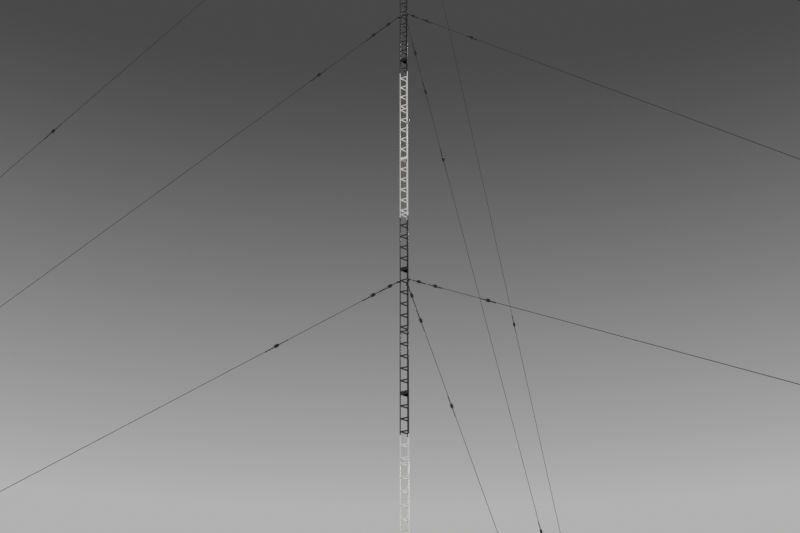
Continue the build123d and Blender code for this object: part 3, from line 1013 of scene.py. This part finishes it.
def egg(work, where):
    rings = []
    for row in range(egg_rows + 1):
        angle = pi * (egg_end_cut + (1 - 2 * egg_end_cut) * row / egg_rows)
        z = -egg_length / 2 * cos(angle) / cos(pi * egg_end_cut)
        radius = egg_radius * sin(angle) ** egg_fullness
        ring = []
        for step in range(egg_sides):
            turn = 2 * pi * step / egg_sides
            grooved = radius
            for offset, end in ((0.0, -1), (pi / 2, 1)):
                beside = abs(sin(turn - offset)) * radius
                if z * end > groove_start and beside < 2.6 * groove_width:
                    fade = min(1.0, (z * end - groove_start) / groove_fade)
                    grooved -= groove_depth * fade * exp(-((beside / groove_width) ** 2))
            ring.append((grooved * cos(turn), grooved * sin(turn), z))
        rings.append(ring)
    skin(work, where, rings)


for side in leg_directions:
    eggs = new_work()
    for level in guy_levels:
        where, length = guy_line(side, level)
        for distance in egg_distances[side][level]:
            egg(eggs, where @ at(0, 0, distance))
    name = f"guy_insulators_{side}"
    finished_piece(f"{name}_eggs", eggs, [egg_porcelain], "egg_porcelain", name)

# The turnbuckles that tension the guys, drop-forged and galvanised: a jaw on the fan plate, a
# long screw, and an open body whose two bosses are joined by side bars. A lock nut holds each.
buckle_start = 0.075
buckle_length = 0.19
boss_length = 0.026
boss_radius = 0.013
bar_size = 0.009
buckle_spread = 0.03
screw_radius = 0.006
screw_pitch = 0.0018
screws = ((clevis_end - 0.002, 0.095), (0.19, 0.1))
lock_nut = 0.02
lock_nut_height = 0.008
sleeve_start = 0.285
sleeve_length = 0.055
buckle_end = buckle_start + buckle_length

for side in leg_directions:
    buckles = new_work()
    for level in guy_levels:
        where, length = guy_line(side, level, from_anchor=True)
        jaw(buckles, where, fan_plate_thickness, 0)
        for start, reach in screws:
            thread(buckles, where @ at(0, 0, start), screw_radius, reach, screw_pitch)
        boss = eased(boss_radius, 0.0, boss_length, 0.002, 0.003)
        for start in (buckle_start, buckle_end - boss_length):
            turned_part(buckles, where @ at(0, 0, start), boss, 20)
        stations = both_ends([(0.0, 0.7), (0.004, 0.95), (0.03, 1.0)], buckle_length)
        for turn in (-1, 1):
            spot = where @ at(turn * buckle_spread / 2, 0, buckle_start)
            bar(buckles, spot, bar_size, bar_size, 0.0022, stations)
        for start in (buckle_start - 0.0085, buckle_end + 0.0005):
            hexagon(buckles, where @ at(0, 0, start), lock_nut, lock_nut_height)
        socket(buckles, where, sleeve_start, sleeve_length, 0)
    name = f"turnbuckles_{side}"
    finished_piece(f"{name}_forged", buckles, [galvanised], "galvanised_steel", name)

# The anchor brackets, welded from galvanised plate: a fan plate with a hole for each guy on an
# inclined shaft, and a base plate held down on its concrete block by six bolts.
plate_face = 0.194
anchor_bolt = 0.016
anchor_bolt_row = 0.103
anchor_bolt_line = 0.067
anchor_bolt_spare = 0.014
anchor_foot = anchor_radius + (anchor_pin_height - plate_face) / sin(anchor_slope) * cos(anchor_slope)

for side in leg_directions:
    dressed(f"anchor_bracket_{side}", galvanised)
    bolts = new_work()
    for x in (-anchor_bolt_row, 0.0, anchor_bolt_row):
        for y in (-anchor_bolt_line, anchor_bolt_line):
            spot = beside_leg(side) @ at(anchor_foot + x, y, plate_face, 90 * x)
            nut(bolts, spot, anchor_bolt, anchor_bolt_spare)
    finished_piece(f"anchor_bolts_{side}", bolts, [galvanised], "galvanised_steel")

# The obstruction lights, one on an arm clamped to a leg at mid height and one on the top plate.
# Each is a cast housing with cooling ribs, a seat ring and a ribbed red glass.
light_height = ring_height(6, 8.4)
lamp_base_radius = 0.023
lamp_base_height = 0.029
glass_radius = 0.026
glass_height = 0.046
glass_rib = 0.007
arm_length = 0.044
arm_thickness = 0.008
arm_width = 0.034
clamp_height = 0.03
glass_red = (0.26, 0.008, 0.006, 1.0)
cast_grey = (0.3, 0.3, 0.295, 1.0)
cast_dark = (0.16, 0.16, 0.155, 1.0)

glass, mix = new_finish("red_glass")
weather = mix.effect("grime", 30.0, 0.3)
colour = mix.mixed(mix.times(weather["Mask"], 0.3), glass_red, dust_colour)
mix.surface(colour, mix.ramp(weather["Mask"], 0.0, 1.0, 0.06, 0.3))
mix.feed(mix.shader.inputs["Transmission Weight"], 0.55)

cast_metal, mix = new_finish("cast_housing", metallic=0.3)
weather = mix.effect("grime", 22.0, 0.5)
colour = mix.mixed(weather["Mask"], cast_grey, cast_dark)
mix.surface(colour, mix.ramp(weather["Fine"], 0.3, 0.7, 0.45, 0.7), weather["Fine"], 0.0004)


def lamp(work, where):
    """A housing with ribs, a seat ring and a ribbed glass with a domed top."""
    radius = lamp_base_radius
    base = [(radius - 0.003, 0.0), (radius, 0.002), (radius, 0.006)]
    for rib in range(3):
        low = 0.007 + rib * 0.006
        base += [(radius - 0.004, low), (radius - 0.004, low + 0.003)]
        base += [(radius - 0.0005, low + 0.0035), (radius - 0.0005, low + 0.0055)]
    base += [(radius, 0.026), (radius, lamp_base_height)]
    turned_part(work, where, base, 32)
    seat = where @ at(0, 0, lamp_base_height)
    radius = glass_radius
    turned_part(work, seat, [(radius - 0.001, 0.0), (radius, 0.001), (radius, 0.006)], 32)
    lens = [(radius - 0.003, 0.005)]
    for rib in range(2):
        low = 0.006 + rib * glass_rib
        lens += [(radius - 0.0025, low), (radius - 0.0006, low + glass_rib / 2)]
        lens.append((radius - 0.0025, low + glass_rib))
    for x, z in arc(1.0, 0, 10, 9):
        lens.append(((radius - 0.0025) * x + 0.0002, glass_height - radius + (radius - 0.001) * z))
    turned_part(work, seat, lens, 32, 2)
    for i in range(4):
        spot = seat @ turned(45 + 90 * i) @ at(radius - 0.002, 0, 0.0062)
        hexagon(work, spot, 0.0035, 0.002, 1)


lights = new_work()
where = turned(leg_directions["right"])
lamp_x = leg_circle + leg_radius + arm_length
lamp(lights, where @ at(lamp_x, 0, light_height))
mast_top_plate = ring_height(section_count, bays) + half_gap + top_plate_height
lamp(lights, where @ at(leg_circle / 2, 0, mast_top_plate))
split_collar(lights, where, leg_circle, light_height, clamp_height, leg_radius + 0.0004, 0.006)
arm_start = leg_circle + leg_radius + 0.003
arm_reach = lamp_x + lamp_base_radius / 2 - arm_start
arm_place = where @ at(arm_start + arm_reach / 2, 0, light_height - arm_thickness / 2)
block(lights, arm_place, arm_reach, arm_width, arm_thickness, 0.0015, 1)
lamp_finishes = [cast_metal, galvanised, glass]
finished_piece("obstruction_lamps", lights, lamp_finishes, "lamp_housing", "obstruction_lights")

# The lightning rod, a tapered steel rod in a socket on the top plate, locked by two grub screws.
rod_radius = 0.007
tip_radius = 0.0025
rod_height = 0.85
socket_radius = 0.015
socket_height = 0.06
grub_screw = 0.007
grub_screw_places = (0.02, 0.042)

bare_steel, mix = new_finish("bare_steel", metallic=0.9)
weather = mix.effect("grime", 20.0, 0.5)
spots = mix.effect("rust", 40.0, 0.45)
colour = rusted(mix, spots, mix.mixed(weather["Mask"], zinc_light, zinc_dark))
mix.surface(colour, mix.ramp(weather["Fine"], 0.3, 0.7, 0.3, 0.55), spots["Raised"], 0.0005)

spike = new_work()
where = at(-leg_circle / 4, 0, mast_top_plate)
sleeve = [(socket_radius, 0.0), (socket_radius, socket_height - 0.003)]
turned_part(spike, where, sleeve + [(socket_radius - 0.003, socket_height)], 24)
turned_part(spike, where, [(socket_radius + 0.004, 0.0), (socket_radius, 0.005)], 24)
taper = [(rod_radius, socket_height - 0.005), (rod_radius * 0.93, 0.15), (rod_radius * 0.75, 0.4)]
taper += [(tip_radius * 1.25, rod_height - 0.02), (tip_radius, rod_height - 0.012)]
turned_part(spike, where, taper + [(0.0006, rod_height)], 20)
for height in grub_screw_places:
    spot = where @ at(0, 0, height) @ turned(90, "Y") @ at(0, 0, socket_radius - 0.001)
    hexagon(spike, spot, grub_screw, 0.004)
finished_piece("lightning_spike", spike, [bare_steel], "bare_steel", "lightning_rod")
